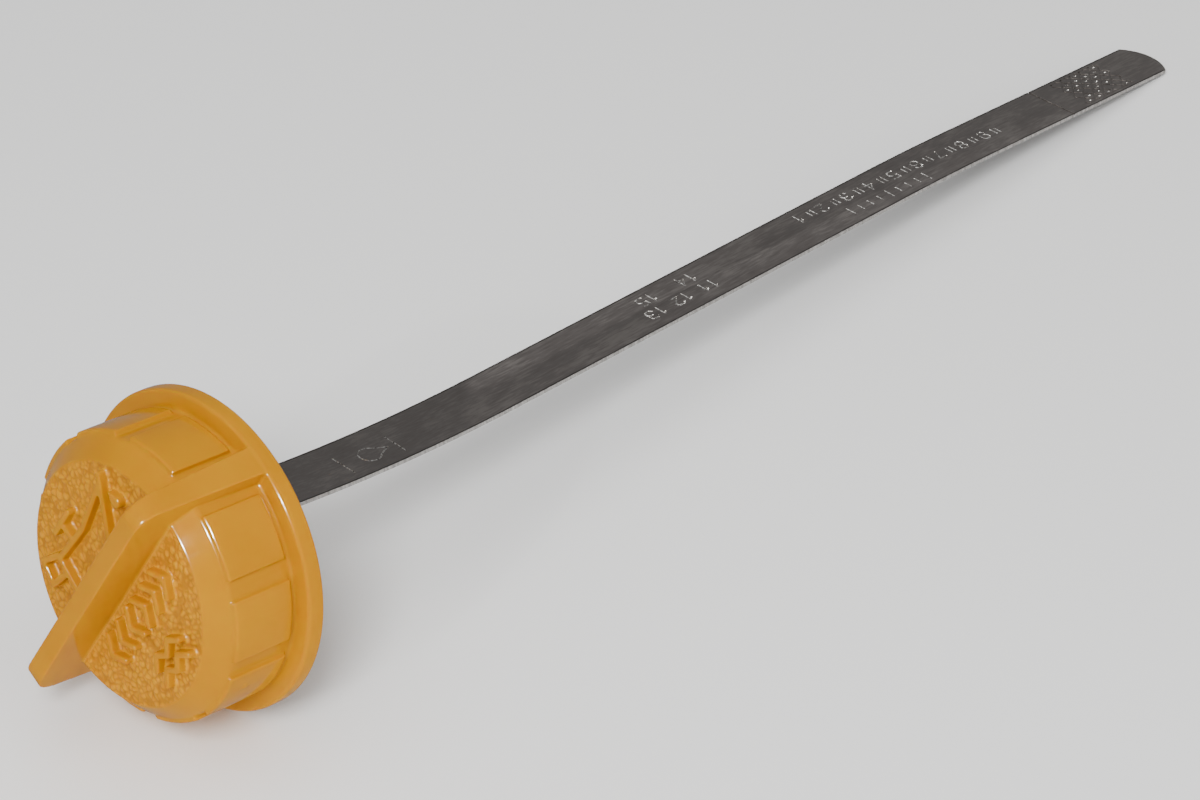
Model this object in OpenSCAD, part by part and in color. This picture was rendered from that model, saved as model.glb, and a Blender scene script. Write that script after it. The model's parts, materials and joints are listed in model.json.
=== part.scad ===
/* [Flange] */
// Outer diameter of the flange that closes down on the filler neck
flange_d = 47; // [46:0.5:50]
// Thickness of the flange
flange_t = 2.8; // [2.2:0.1:3.4]
// Rounding of the flange's two outer edges
flange_round = 0.5; // [0.2:0.1:0.8]
// Hollow rounding between the skirt and the flange
flange_fillet = 0.6; // [0.2:0.1:0.7]

/* [Skirt and shoulder] */
// Diameter of the skirt between its grip pads
skirt_d = 41; // [40:0.2:42]
// Height of the skirt's front corner above the flange's back face
skirt_h = 13.5; // [12:0.25:15]
// Height of the front face above the flange's back face
face_h = 16.5; // [15.75:0.25:18]
// Diameter of the grained front face
face_d = 35.8; // [35:0.2:37]
// Rounding where the shoulder meets the skirt
shoulder_round = 1.2; // [0.6:0.1:1.6]
// Rounding of the front face's rim
face_round = 0.3; // [0.2:0.05:0.5]
// Wall thickness of the moulding
wall_t = 2; // [1.6:0.1:2.4]
// Number of stiffening ribs between the skirt and the hub
rib_count = 8; // [4:1:10]
// Thickness of one rib
rib_t = 1.3; // [1:0.1:1.6]
// How far the ribs stay back from the flange's back face
rib_back = 3; // [2:0.25:5]

/* [Grip pads] */
// Number of raised pads on each side of the handle
pads_per_side = 5; // [3:1:5]
// Width of a pad as an angle round the skirt
pad_angle = 25.6; // [20:0.2:28]
// Angle from one pad's middle to the next
pad_pitch = 33.6; // [31:0.2:34.4]
// How far a pad stands out of the skirt
pad_proud = 0.7; // [0.3:0.05:0.8]
// Bevel round a pad's outer edges
pad_bevel = 0.25; // [0.1:0.05:0.3]
// Bare strip of skirt between the pads and the flange
pad_gap = 0.8; // [0.4:0.1:1.5]
// How far the pads run forward past the start of the shoulder's rounding
pad_over = 0.45; // [0.3:0.05:0.6]

/* [Handle] */
// Height of the handle above the front face
handle_h = 6.6; // [5:0.2:8]
// Length of the handle along its top
handle_top_l = 45; // [42:0.5:46]
// Length of the handle where its ends run down to the flange
handle_foot_l = 46.6; // [45:0.2:47]
// Thickness of the handle at its top
handle_top_t = 3; // [2.4:0.1:3.6]
// Thickness of the handle at the flange
handle_foot_t = 4.4; // [3.8:0.1:5]
// Rounding of the handle's two top corners
handle_corner = 3.6; // [1:0.1:4.5]
// Angle of the handle from the blade's flat side
handle_turn = 29.6; // [0:0.2:60]

/* [Raised signs] */
// Height of the raised signs above the front face
sign_h = 1.4; // [0.6:0.1:1.8]
// Width of a raised stroke
stroke_w = 0.95; // [0.7:0.05:1.2]
// Size of one step of the grid on which the signs are drawn
sign_grid = 1; // [0.9:0.02:1.04]

/* [Plug] */
// Diameter of the plug that enters the filler neck
plug_d = 26; // [25:0.5:27]
// How far the plug reaches behind the flange
plug_reach = 6.5; // [6:0.1:7.5]
// Wall thickness of the plug
plug_wall = 3.4; // [3:0.1:3.6]
// How much thinner the hub inside the cap is than the plug, all round
hub_step = 0.4; // [0.2:0.1:0.8]
// Bevel on the outer edges of the lugs
lug_bevel = 0.3; // [0.2:0.05:0.4]
// Height of the ramp by which a lug pulls the cap down
lug_ramp = 0.5; // [0.3:0.1:0.8]
// Number of locking lugs on the plug
lug_count = 2; // [2:1:3]
// Width of a locking lug as an angle
lug_angle = 40; // [24:1:50]
// How far a lug stands out of the plug
lug_proud = 1.6; // [1.3:0.1:1.8]
// Thickness of a lug along the plug
lug_t = 1.8; // [1.2:0.1:2]
// Turn of the first lug from the blade's side of the cap
lug_turn = 30; // [25:1:45]

/* [Seal ring] */
// Thickness of the rubber ring
ring_section = 2.4; // [2:0.1:2.6]
// How far the ring stands out of the plug before it is squeezed
ring_proud = 0.5; // [0.3:0.05:0.7]
// Distance from the flange's back face to the ring groove
groove_back = 0.7; // [0.5:0.1:1]
// Play of the ring along its groove
groove_play = 0.3; // [0.2:0.05:0.4]
// Play between the ring and the bottom of its groove
ring_fit = 0.02; // [0.01:0.01:0.04]

/* [Blade] */
// Width of the blade
blade_w = 10; // [8.5:0.25:10.5]
// Thickness of the blade
blade_t = 0.6; // [0.4:0.05:0.9]
// Distance from the flange's back face to the blade's tip
blade_reach = 205.6; // [180:1:260]
// Radius of the rounded tip
tip_r = 7.3; // [6:0.1:12]
// Offset of the blade from the cap's axis at the flange
blade_offset = 5.4; // [5:0.1:6]
// How far the blade goes into the cap past the flange
root_depth = 10; // [8:0.5:11]
// Lean of the blade towards the axis as it leaves the cap
root_lean = 4.1; // [2:0.1:5]
// Angle of the long bow behind the cap
bow_turn = 9.8; // [6:0.1:12]
// Length of the long bow
bow_l = 54; // [40:1:70]
// Distance from the flange to the second bend
set_start = 140; // [110:1:150]
// Angle by which the second bend sets the blade back
set_turn = 2.2; // [1:0.1:4]
// Length of the second bend
set_l = 18; // [8:1:24]

/* [Level marks] */
// Distance from the blade's tip to the scribed level line
line_from_tip = 26; // [20:0.5:34]
// Distance from the blade's tip to the near end of the hatched field
hatch_from_tip = 9.5; // [8.5:0.5:12]
// Length of the hatched field
hatch_l = 12; // [8:0.5:14]
// Bare margin along each edge of the hatched field
hatch_margin = 0.7; // [0.4:0.1:1.5]
// Distance between hatch grooves
hatch_pitch = 1.7; // [1.2:0.1:2.4]
// Width of a groove
groove_w = 0.35; // [0.2:0.05:0.5]
// Depth of a groove in the blade's face
groove_d = 0.12; // [0.08:0.01:0.18]

/* [Blade pin] */
// Diameter of the pin that holds the blade in the cap
pin_d = 2; // [1.6:0.1:2.2]
// Radial clearance of the pin in the plug
pin_fit = 0.02; // [0.01:0.01:0.05]
// Radial clearance of the blade's hole round the pin
pin_hole_play = 0.1; // [0.05:0.05:0.2]
// Thickness of the web that grips the blade
web_t = 4.4; // [3.6:0.2:5]
// Plug wall left between the ring groove and the pin
pin_gap = 0.5; // [0.4:0.1:0.7]
// How far the pin's outer end lies inside the plug's side
pin_inset = 0.3; // [0.2:0.1:0.6]
// How far the pin's hole stays inside the web's far side
pin_stop = 0.2; // [0.1:0.05:0.4]
// Clearance of the blade all round in its slot
slot_play = 0.08; // [0.05:0.01:0.15]

/* [Hidden] */
$fn = 96;
overlap = 0.5;
flange_r = flange_d / 2;
skirt_r = skirt_d / 2;
face_r = face_d / 2;
plug_r = plug_d / 2;
plug_bore_r = plug_r - plug_wall;
hub_r = plug_r - hub_step;
handle_top = face_h + handle_h;
hollow_r = skirt_r - wall_t;
roof_h = face_h - wall_t;
// The shoulder leans inwards by this angle on its way from the skirt to the face
shoulder_lean = atan2(skirt_r - face_r, face_h - skirt_h);
pad_r = skirt_r + pad_proud;
first_pad = 90 - (pads_per_side - 1) * pad_pitch / 2;
groove_l = ring_section + 2 * groove_play;
ring_seat_r = plug_r + ring_proud - ring_section;
pin_z = -(groove_back + groove_l + pin_d / 2 + pin_gap);
// The web's middle lies where the blade passes the pin
web_x = blade_offset + pin_z * tan(root_lean);
pin_outer = plug_r - pin_inset;
pin_inner = web_x - web_t / 2 + pin_stop;
bow_steps = 24;
set_steps = 8;

// A point of the bend that starts at p with the given heading and turns by a over the length l
function along(p, heading, a, l, part) =
    let (r = l / (a * PI / 180), h = heading + a * part)
    [p[0] + r * (cos(heading) - cos(h)), p[1] + r * (sin(h) - sin(heading))];

// Middle line of the blade: rise across the blade, then distance from the flange
lean_in = -root_lean;
bow_heading = lean_in + bow_turn;
set_heading = bow_heading - set_turn;
root_end = [blade_offset + root_depth * tan(root_lean), -root_depth];
bow_start = [blade_offset, 0];
bow_end = along(bow_start, lean_in, bow_turn, bow_l, 1);
set_begin = bow_end + (set_start - bow_end[1]) * [tan(bow_heading), 1];
set_end = along(set_begin, bow_heading, -set_turn, set_l, 1);
tip_end = set_end + (blade_reach - set_end[1]) * [tan(set_heading), 1];

function bow_points() = [for (i = [0 : bow_steps]) along(bow_start, lean_in, bow_turn, bow_l, i / bow_steps)];
function set_points() =
    [for (i = [0 : set_steps]) along(set_begin, bow_heading, -set_turn, set_l, i / set_steps)];
function middle_line() = concat([root_end], bow_points(), set_points(), [tip_end]);
function headings() = concat(
    [lean_in],
    [for (i = [0 : bow_steps]) lean_in + bow_turn * i / bow_steps],
    [for (i = [0 : set_steps]) bow_heading - set_turn * i / set_steps],
    [set_heading]);
// One face of the blade, the given distance above its middle line
function face_line(rise) = [for (i = [0 : len(headings()) - 1])
    middle_line()[i] + rise * [cos(headings()[i]), -sin(headings()[i])]];

// Rest on a table: the flange's back edge and the blade's tip touch it
edge_r = flange_r - flange_round;
rest_rise = edge_r + tip_end[0] - blade_t / 2;
rest_run = blade_reach + flange_round;
rest_tilt = acos(-flange_round / norm([rest_rise, rest_run])) - atan2(rest_run, rest_rise);
rest_lift = edge_r * cos(rest_tilt) - flange_round * sin(rest_tilt) + flange_round;

// Middle of the resting model's length, between the handle's top and the blade's tip
front_reach = cos(handle_turn) * sin(rest_tilt) * (handle_top_l / 2 - handle_corner)
    + cos(rest_tilt) * (handle_top - handle_corner)
    + handle_corner * norm([cos(handle_turn) * sin(rest_tilt), cos(rest_tilt)])
    + sin(handle_turn) * sin(rest_tilt) * handle_top_t / 2;
back_reach = (tip_end[0] + blade_t / 2) * sin(rest_tilt) + blade_reach * cos(rest_tilt);
rest_middle = (back_reach - front_reach) / 2;

// Quarter circle of points between two directions round a centre
function corner(x, y, r, from, to, steps = 6) =
    [for (i = [0 : steps]) let (a = from + (to - from) * i / steps) [x + r * cos(a), y + r * sin(a)]];

// Length that the rounded corner takes off the skirt
shoulder_cut = shoulder_round * tan(shoulder_lean / 2);

// Lays the model, built with the cap's axis upright, down in its rest place
module at_rest() {
    translate([-rest_middle, 0, rest_lift]) rotate([0, rest_tilt - 90, 0]) children();
}

// Outer form of the cap without pads and handle
module cap_body() {
    rotate_extrude($fn = 180) polygon(concat(
        [[0, 0]],
        corner(flange_r - flange_round, flange_round, flange_round, -90, 0),
        corner(flange_r - flange_round, flange_t - flange_round, flange_round, 0, 90),
        corner(skirt_r + flange_fillet, flange_t + flange_fillet, flange_fillet, 270, 180),
        corner(skirt_r - shoulder_round, skirt_h - shoulder_cut, shoulder_round, 0, shoulder_lean),
        corner(face_r - face_round, face_h - face_round, face_round, shoulder_lean, 90),
        [[0, face_h]]));
}

// One grip pad with bevelled edges
module pad() {
    low = flange_t + pad_gap;
    high = skirt_h - shoulder_cut + pad_over;
    rotate([0, 0, -pad_angle / 2]) rotate_extrude(angle = pad_angle, $fn = 180) polygon([
        [skirt_r - wall_t / 2, low],
        [pad_r - pad_bevel, low],
        [pad_r, low + pad_bevel],
        [pad_r, high - pad_bevel],
        [pad_r - pad_bevel, high],
        [skirt_r - wall_t / 2, high]]);
}

// Straight handle across the whole cap, thinner towards its top
module handle() {
    slope = (handle_foot_l - handle_top_l) / 2 / (handle_top - flange_t);
    foot = handle_foot_l / 2 + slope * overlap;
    top = handle_top_l / 2;
    side = (handle_foot_t - handle_top_t) / 2 / (handle_top - flange_t);
    low_t = handle_foot_t / 2 + side * overlap;
    intersection() {
        rotate([90, 0, 0]) linear_extrude(height = flange_d, center = true) polygon(concat(
            [[-foot, flange_t - overlap], [foot, flange_t - overlap]],
            corner(top - handle_corner, handle_top - handle_corner, handle_corner, 0, 90),
            corner(handle_corner - top, handle_top - handle_corner, handle_corner, 90, 180)));
        rotate([90, 0, 90]) linear_extrude(height = flange_d, center = true) polygon([
            [-low_t, flange_t - overlap],
            [low_t, flange_t - overlap],
            [handle_top_t / 2, handle_top],
            [-handle_top_t / 2, handle_top]]);
    }
}

// A straight raised stroke between two points of the sign grid
module stroke(from, to) {
    a = sign_grid * from;
    b = sign_grid * to;
    translate([a[0], a[1], face_h - overlap])
        rotate([0, 0, atan2(b[1] - a[1], b[0] - a[0])])
            translate([-stroke_w / 2, -stroke_w / 2, 0])
                cube([norm(b - a) + stroke_w, stroke_w, sign_h + overlap]);
}

// A chain of raised strokes
module strokes(points) {
    for (i = [0 : len(points) - 2]) stroke(points[i], points[i + 1]);
}

// Oil can with its spout to the right and a falling drop
module oil_can_sign() {
    strokes([[-6.3, 9.2], [2.1, 8.6], [11.1, 10]]);
    strokes([[-6.3, 9.2], [-7.2, 3.7], [5.4, 3.7], [11.2, 9.8]]);
    strokes([[-6.1, 9.6], [-9.9, 11.2], [-11.1, 7.9], [-6.8, 7]]);
    stroke([10.9, 9.4], [12.3, 10.9]);
    stroke([-1.2, 9], [-1.2, 11.9]);
    stroke([-3.6, 11.9], [1.5, 11.9]);
    translate(sign_grid * [12.1, 6.4, 0]) drop(sign_grid * 0.95);
}

// A drop with a pointed top
module drop(r) {
    translate([0, 0, face_h - overlap]) {
        cylinder(r = r, h = sign_h + overlap, $fn = 48);
        linear_extrude(height = sign_h + overlap) polygon([
            [-r * cos(30), r * sin(30)],
            [r * cos(30), r * sin(30)],
            [0, 2 * r]]);
    }
}

// Chevrons that point both ways round the cap, and two waves below them
module turn_sign() {
    for (side = [-1, 1]) for (i = [0 : 2]) chevron(1.1 + side * (1.9 + 3.6 * i), side);
    for (y = [-12.1, -14.6])
        strokes([for (i = [0 : 4]) [-2.2 + 2 * i, y + (i % 2 == 0 ? -0.7 : 0.7)]]);
}

// One chevron that points to the given side
module chevron(x, side) {
    strokes([[x - 0.9 * side, -3.6], [x + 0.9 * side, -5.8], [x - 0.9 * side, -8]]);
}

// Hollow between the skirt and the hub, with a sloping outer corner
module skirt_hollow() {
    difference() {
        rotate_extrude($fn = 180) polygon([
            [hub_r, -overlap],
            [hollow_r, -overlap],
            [hollow_r, skirt_h - shoulder_cut - wall_t / 2],
            [face_r - wall_t / 2, roof_h],
            [hub_r, roof_h]]);
        for (i = [0 : rib_count - 1]) rotate([0, 0, (i + 0.5) * 360 / rib_count])
            translate([0, -rib_t / 2, rib_back])
                cube([skirt_r, rib_t, face_h]);
    }
}

// Inside of the plug, with the web that grips the blade left standing across it
module plug_hollow() {
    difference() {
        translate([0, 0, -plug_reach - overlap]) cylinder(r = plug_bore_r, h = roof_h + plug_reach + overlap);
        lean_with_blade() translate([-web_t / 2, -plug_r, -plug_reach - 2 * overlap])
            cube([web_t, plug_d, roof_h + plug_reach + 4 * overlap]);
    }
}

// Places what follows on the blade's straight root, along the blade
module lean_with_blade() {
    translate([blade_offset, 0, 0]) rotate([0, root_lean, 0]) children();
}

// Slot for the blade's root
module blade_slot() {
    depth = root_depth / cos(root_lean) + slot_play;
    lean_with_blade() translate([-blade_t / 2 - slot_play, -blade_w / 2 - slot_play, -plug_reach - 2])
        cube([blade_t + 2 * slot_play, blade_w + 2 * slot_play, depth + plug_reach + 2]);
}

// Straight line of the pin across the plug, from its side to past the web
module pin_line(r, from, to) {
    translate([from, 0, pin_z]) rotate([0, 90, 0]) cylinder(r = r, h = to - from, $fn = 48);
}

// One moulding: flange, skirt, pads, handle, signs, hub, plug and lugs
module cap() {
    color("#ffb414") at_rest() difference() {
        union() {
            cap_body();
            rotate([0, 0, -handle_turn]) {
                handle();
                for (side = [0, 180]) for (i = [0 : pads_per_side - 1])
                    rotate([0, 0, side + first_pad + i * pad_pitch]) pad();
                oil_can_sign();
                turn_sign();
            }
            translate([0, 0, -plug_reach]) cylinder(r = plug_r, h = plug_reach + overlap);
            for (i = [0 : lug_count - 1]) rotate([0, 0, lug_turn + i * 360 / lug_count]) lug();
        }
        skirt_hollow();
        plug_hollow();
        blade_slot();
        ring_groove();
        pin_line(pin_d / 2 + pin_fit, pin_inner, plug_r + overlap);
    }
}

// One locking lug at the end of the plug, with a ramped top
module lug() {
    rotate([0, 0, -lug_angle / 2]) rotate_extrude(angle = lug_angle) polygon([
        [plug_r - overlap, -plug_reach],
        [plug_r + lug_proud - lug_bevel, -plug_reach],
        [plug_r + lug_proud, -plug_reach + lug_bevel],
        [plug_r + lug_proud, -plug_reach + lug_t - lug_ramp],
        [plug_r, -plug_reach + lug_t],
        [plug_r - overlap, -plug_reach + lug_t]]);
}

// Groove round the plug for the seal ring
module ring_groove() {
    translate([0, 0, -groove_back - groove_l]) difference() {
        cylinder(r = plug_r + overlap, h = groove_l);
        translate([0, 0, -overlap]) cylinder(r = ring_seat_r, h = groove_l + 2 * overlap);
    }
}

// Round rubber ring in the plug's groove
module seal_ring() {
    color("#1d1d1f") at_rest() translate([0, 0, -groove_back - groove_l / 2]) rotate_extrude()
        translate([ring_seat_r + ring_section / 2 + ring_fit, 0]) circle(d = ring_section, $fn = 48);
}

// Places what follows on the upper face of the blade's last straight stretch, at a distance from its tip
module on_blade_end(from_tip) {
    at = tip_end - from_tip * [tan(set_heading), 1];
    translate([at[0], 0, -at[1]]) rotate([0, -set_heading, 0]) translate([blade_t / 2, 0, 0]) children();
}

// Hatched field of crossed grooves that holds the oil film
module hatch() {
    wide = blade_w - 2 * hatch_margin;
    reach = wide + hatch_l;
    on_blade_end(hatch_from_tip + hatch_l / 2) intersection() {
        cube([2 * groove_d, wide, hatch_l], center = true);
        union() for (turn = [-45, 45]) rotate([turn, 0, 0])
            for (z = [-floor(reach / 2 / hatch_pitch) : floor(reach / 2 / hatch_pitch)])
                translate([0, 0, z * hatch_pitch]) cube([2 * groove_d, reach, groove_w], center = true);
    }
}

// Flat outline of the blade seen on its face, with a rounded tip
module blade_outline() {
    straight_l = blade_reach - tip_r + sqrt(tip_r * tip_r - blade_w * blade_w / 4);
    rotate([0, 90, 0]) {
        translate([-root_depth - overlap, -blade_w / 2, -blade_reach / 2])
            cube([straight_l + root_depth + overlap, blade_w, blade_reach]);
        intersection() {
            translate([blade_reach - tip_r, 0, -blade_reach / 2]) cylinder(r = tip_r, h = blade_reach);
            translate([blade_reach - tip_r, -blade_w / 2, -blade_reach / 2]) cube([tip_r, blade_w, blade_reach]);
        }
    }
}

// Spring-steel blade: bowed strip, rounded tip, level line, hatched field and pin hole
module blade() {
    points = concat(face_line(blade_t / 2), [for (i = [len(headings()) - 1 : -1 : 0]) face_line(-blade_t / 2)[i]]);
    color("#6b6664") at_rest() difference() {
        intersection() {
            rotate([90, 0, 0]) linear_extrude(height = blade_w, center = true)
                polygon([for (p = points) [p[0], -p[1]]]);
            blade_outline();
        }
        hatch();
        on_blade_end(line_from_tip) cube([2 * groove_d, blade_w + overlap, groove_w], center = true);
        pin_line(pin_d / 2 + pin_hole_play, web_x - web_t, web_x + web_t);
    }
}

// Steel pin pressed in from the side of the plug, through the web and the blade
module blade_pin() {
    color("#b4b4b0") at_rest() pin_line(pin_d / 2, pin_inner, pin_outer);
}

cap();
seal_ring();
blade();
blade_pin();
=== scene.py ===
# Engine oil dipstick: a moulded amber filler cap with a bar handle, and a stamped spring-steel blade
import json
import math
import bpy
import bmesh
import numpy as np
from mathutils import Matrix, Quaternion, Vector, noise
from mathutils.bvhtree import BVHTree


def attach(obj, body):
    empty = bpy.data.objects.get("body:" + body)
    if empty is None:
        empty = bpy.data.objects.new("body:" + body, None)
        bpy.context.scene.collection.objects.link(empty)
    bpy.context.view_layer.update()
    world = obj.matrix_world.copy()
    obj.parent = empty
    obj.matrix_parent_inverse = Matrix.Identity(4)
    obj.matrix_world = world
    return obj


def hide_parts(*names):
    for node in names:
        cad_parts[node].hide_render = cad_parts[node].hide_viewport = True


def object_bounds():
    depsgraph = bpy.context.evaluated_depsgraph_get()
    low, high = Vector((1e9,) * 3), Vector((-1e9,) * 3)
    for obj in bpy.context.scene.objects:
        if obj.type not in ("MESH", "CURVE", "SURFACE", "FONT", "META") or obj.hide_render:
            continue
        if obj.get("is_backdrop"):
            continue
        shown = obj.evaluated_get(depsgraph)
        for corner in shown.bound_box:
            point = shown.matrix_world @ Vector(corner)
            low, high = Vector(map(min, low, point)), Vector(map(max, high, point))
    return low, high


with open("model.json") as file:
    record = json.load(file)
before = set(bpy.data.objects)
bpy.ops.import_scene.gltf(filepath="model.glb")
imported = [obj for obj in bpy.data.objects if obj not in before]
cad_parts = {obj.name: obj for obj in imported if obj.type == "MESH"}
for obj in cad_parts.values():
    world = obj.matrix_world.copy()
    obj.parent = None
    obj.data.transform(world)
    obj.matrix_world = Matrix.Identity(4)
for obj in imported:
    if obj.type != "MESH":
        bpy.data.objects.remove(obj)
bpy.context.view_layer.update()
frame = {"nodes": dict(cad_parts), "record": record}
scene = bpy.context.scene
mm = 0.001
noiseLow, noiseHigh = 0.3, 0.7  # nearly all values of a noise texture lie between these


def linearColour(hexCode):
    parts = [int(hexCode[i:i + 2], 16) / 255 for i in (1, 3, 5)]
    return [c / 12.92 if c <= 0.04045 else ((c + 0.055) / 1.055) ** 2.4 for c in parts] + [1.0]


def addNode(tree, kind, values=None, links=None, stops=None, **settings):
    # values and links go to the node's inputs; stops are the places and colours of a colour ramp
    node = tree.nodes.new(kind)
    for key, value in settings.items():
        setattr(node, key, value)
    for socket, value in (values or {}).items():
        node.inputs[socket].default_value = value
    for socket, source in (links or {}).items():
        tree.links.new(source, node.inputs[socket])
    if stops:
        elements = node.color_ramp.elements
        elements[0].position = stops[0][0]
        elements[1].position = stops[-1][0]
        for position, _ in stops[1:-1]:
            elements.new(position)
        for element, (_, hexCode) in zip(elements, stops):
            element.color = linearColour(hexCode)
    return node


def newMaterial(name, **shaderValues):
    # the shader's inputs are named with an underscore for each space
    material = bpy.data.materials.new(name)
    material.use_nodes = True
    tree = material.node_tree
    shader = tree.nodes["Principled BSDF"]
    for socket, value in shaderValues.items():
        shader.inputs[socket.replace("_", " ")].default_value = value
    return material, tree, shader


# The camera stands where the photo was taken: in front of the cap and to one side, looking down
cameraView = {
    "spot": (-0.3324, -0.3495, 0.3689),
    "aim": (-0.0289, -0.0149, 0.0200),
    "roll": -4.43,  # degrees
    "lens": 118.6,  # mm, on a sensor of this width
    "sensorW": 36.0,
    "clip": (0.01, 10.0),
}


def makeCamera(view):
    camera = bpy.data.objects.new("camera", bpy.data.cameras.new("camera"))
    scene.collection.objects.link(camera)
    spot, aim = Vector(view["spot"]), Vector(view["aim"])
    camera.location = spot
    camera.rotation_mode = "QUATERNION"
    camera.rotation_quaternion = (
        (aim - spot).to_track_quat("-Z", "Y") @ Quaternion((0, 0, 1), math.radians(view["roll"])))
    camera.data.lens = view["lens"]
    camera.data.sensor_width = view["sensorW"]
    camera.data.clip_start, camera.data.clip_end = view["clip"]
    scene.camera = camera


makeCamera(cameraView)
print("camera placed")


# The cap's own place: its axis and the middle of its flange come from the seat mount
seat = next(m for m in frame["record"]["mounts"] if m["name"] == "flange_seat")
capFront = -Vector(seat["axis"]).normalized()
capSide = Vector((0, 1, 0))
capUp = capSide.cross(capFront)
flangeMiddle = Vector((seat["pos_m"][0], 0, seat["pos_m"][2]))
capPlace = Matrix.Translation(flangeMiddle) @ Matrix((capUp, capSide, capFront)).transposed().to_4x4()
capPlaceMm = capPlace @ Matrix.Scale(mm, 4)


class SolidList:  # closed solids, which may overlap, gathered into one mesh
    def __init__(self):
        self.points, self.faces = [], []

    def add(self, points, faces, place=None):
        start = len(self.points)
        self.points += [tuple(place @ Vector(p)) if place else tuple(p) for p in points]
        self.faces += [[start + i for i in face] for face in faces]

    def asMesh(self, name):
        mesh = bpy.data.meshes.new(name)
        mesh.from_pydata(self.points, [], self.faces)
        return mesh


def turned(degrees, axis="Z"):
    return Matrix.Rotation(math.radians(degrees), 4, axis)


def arc(x, y, r, start, end, steps=8):
    angles = [math.radians(start + (end - start) * i / steps) for i in range(steps + 1)]
    return [(x + r * math.cos(a), y + r * math.sin(a)) for a in angles]


def revolve(profile, steps, sweep=360.0):
    # the profile is a closed outline of (radius, height), turned round the upright axis
    whole, n = sweep == 360.0, len(profile)
    rings = steps if whole else steps + 1
    points = []
    for k in range(rings):
        a = math.radians(sweep * k / steps)
        points += [(r * math.cos(a), r * math.sin(a), z) for r, z in profile]
    faces = []
    for k in range(steps):
        here, there = k * n, ((k + 1) % rings) * n
        faces += [(here + i, there + i, there + (i + 1) % n, here + (i + 1) % n) for i in range(n)]
    if not whole:
        faces += [tuple(range(n)), tuple(reversed(range(steps * n, (steps + 1) * n)))]
    return points, faces


def loft(near, far):
    # joins two outlines with equally many points, and closes both ends
    n = len(near)
    sides = [(i, (i + 1) % n, n + (i + 1) % n, n + i) for i in range(n)]
    return near + far, sides + [tuple(reversed(range(n))), tuple(range(n, 2 * n))]


def prism(outline, low, high):
    return loft([(x, y, low) for x, y in outline], [(x, y, high) for x, y in outline])


def strokeOutline(start, end, width):
    # a straight stroke with round ends
    turn = math.degrees(math.atan2(end[1] - start[1], end[0] - start[0]))
    r = width / 2
    return arc(end[0], end[1], r, turn - 90, turn + 90) + arc(start[0], start[1], r, turn + 90, turn + 270)


def newObject(name, data):
    obj = bpy.data.objects.new(name, data)
    scene.collection.objects.link(obj)
    return obj


def withModifiers(obj, *modifiers):
    # each modifier is its kind and its settings; the result replaces the object's mesh
    for kind, settings in modifiers:
        modifier = obj.modifiers.new(kind.lower(), kind)
        for key, value in settings.items():
            setattr(modifier, key, value)
    shape = bpy.data.meshes.new_from_object(obj.evaluated_get(bpy.context.evaluated_depsgraph_get()))
    obj.modifiers.clear()
    obj.data = shape
    return obj


def cleanMesh(mesh, weld=0.0, flatAngle=0.0):
    # joins points closer than the weld, takes out edges flatter than the angle, turns all faces outwards
    work = bmesh.new()
    work.from_mesh(mesh)
    if weld:
        bmesh.ops.remove_doubles(work, verts=work.verts, dist=weld)
    if flatAngle:
        angle = math.radians(flatAngle)
        bmesh.ops.dissolve_limit(work, angle_limit=angle, verts=work.verts, edges=work.edges)
    bmesh.ops.recalc_face_normals(work, faces=work.faces)
    work.to_mesh(mesh)
    work.free()


def coordinates(mesh):
    flat = np.empty(len(mesh.vertices) * 3, np.float64)
    mesh.vertices.foreach_get("co", flat)
    return flat.reshape(-1, 3)


def setCoordinates(mesh, points):
    mesh.vertices.foreach_set("co", points.astype(np.float32).ravel())
    mesh.update()


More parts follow.
